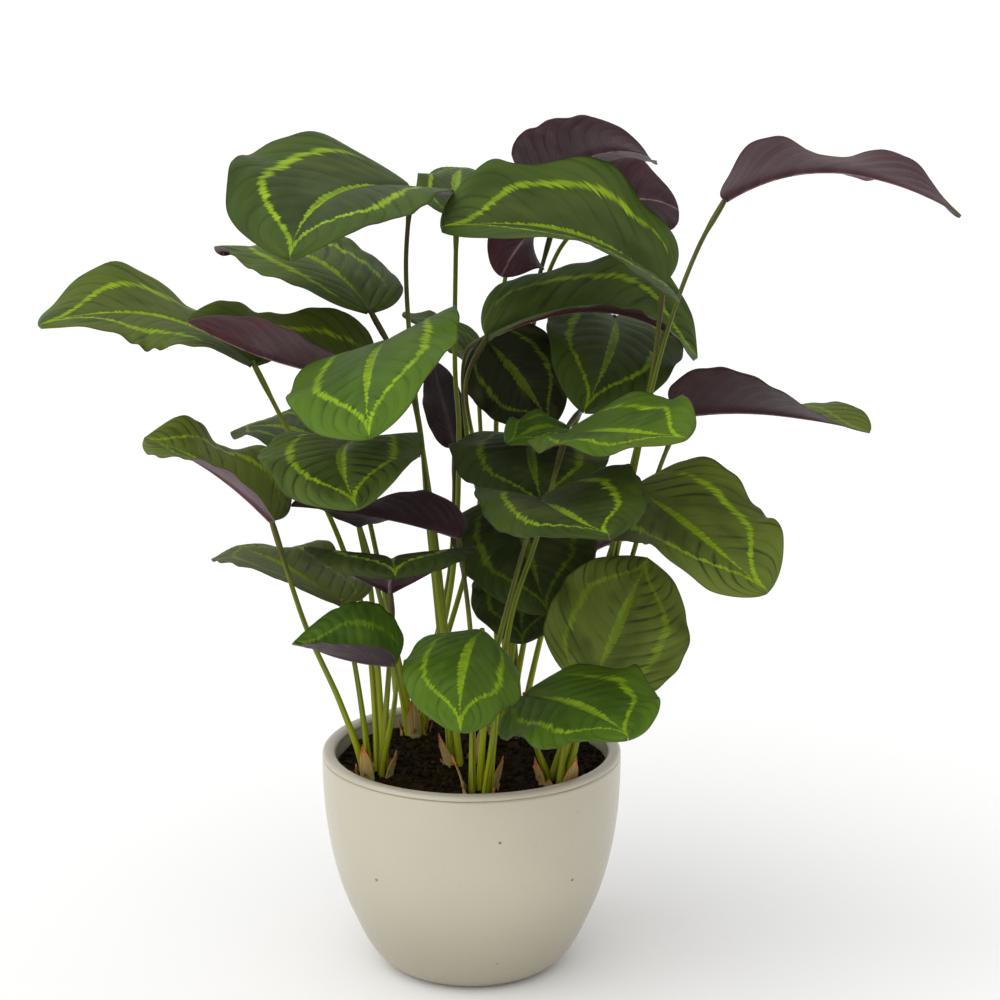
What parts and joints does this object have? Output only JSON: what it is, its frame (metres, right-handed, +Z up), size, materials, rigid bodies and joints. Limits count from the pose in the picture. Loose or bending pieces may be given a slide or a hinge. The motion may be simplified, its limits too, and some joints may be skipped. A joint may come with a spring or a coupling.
{
  "type": "potted medallion calathea",
  "caption": "Medallion calathea, a prayer plant with broad feather-marked leaves and purple undersides, growing in a round cream glazed pot that stands on its flat foot.",
  "frame": {"origin": "centre of the pot's flat foot, on the surface that it stands on", "axes": "+Z up, -Y to the side that the plant was pictured from, +X to the right seen from there"},
  "size_m": [0.5853, 0.3286, 0.568],
  "materials": {
    "pot_glaze": "satin cream glaze over stoneware, with faint speckle and a few dark pits",
    "potting_soil": "damp fibrous potting mix, rough",
    "stalk": "smooth ribbed olive green stalk, satin, reddish brown near the blade",
    "papery_sheath": "dry papery bract, tan to orange, matte and veined",
    "leaf_bright": "leaf, lit green with a lime feathered ring and midrib, satin",
    "leaf_green": "leaf, olive green with a lime feathered ring and midrib, satin",
    "leaf_dark": "leaf, dark green with a lime feathered ring and midrib, satin",
    "leaf_underside": "leaf underside, aubergine purple with a greyish sheen, satin"
  },
  "bodies": {
    "root": {"pot": "pot_glaze", "soil": "potting_soil", "stalks_left": "stalk", "sheath_left": "papery_sheath", "stalks_back_left": "stalk", "sheath_back_left": "papery_sheath", "stalks_front": "stalk", "sheath_front": "papery_sheath", "stalks_middle": "stalk", "sheath_middle": "papery_sheath", "stalks_right": "stalk", "sheath_right": "papery_sheath", "stalks_back_right": "stalk", "sheath_back_right": "papery_sheath", "leaf_top_left": "leaf_green", "leaf_left_high": "leaf_dark", "leaf_far_left": "leaf_green", "leaf_left_folded": "leaf_underside", "leaf_centre_bright": "leaf_bright", "leaf_left_low": "leaf_green", "leaf_left_behind": "leaf_green", "leaf_centre_dark": "leaf_dark", "leaf_centre_folded": "leaf_underside", "leaf_lower_left": "leaf_green", "leaf_low_front": "leaf_dark", "leaf_lower_small": "leaf_bright", "leaf_front_low": "leaf_bright", "leaf_front_right": "leaf_bright", "leaf_right_round": "leaf_green", "leaf_right_bright": "leaf_bright", "leaf_right_big": "leaf_green", "leaf_centre_wavy": "leaf_green", "leaf_middle_upper": "leaf_dark", "leaf_middle_lower": "leaf_dark", "leaf_middle_deep": "leaf_dark", "leaf_top_centre": "leaf_green", "leaf_under_top": "leaf_dark", "leaf_middle_big": "leaf_dark", "leaf_middle_sliver": "leaf_bright", "leaf_right_dark": "leaf_dark", "leaf_top_raised": "leaf_underside", "leaf_top_back": "leaf_underside", "leaf_top_hanging": "leaf_underside", "leaf_top_behind": "leaf_green", "leaf_right_folded": "leaf_underside", "leaf_right_high": "leaf_underside", "leaf_back_grey": "leaf_dark", "leaf_back_red": "leaf_underside", "leaf_right_under": "leaf_underside"}
  },
  "joints": []
}
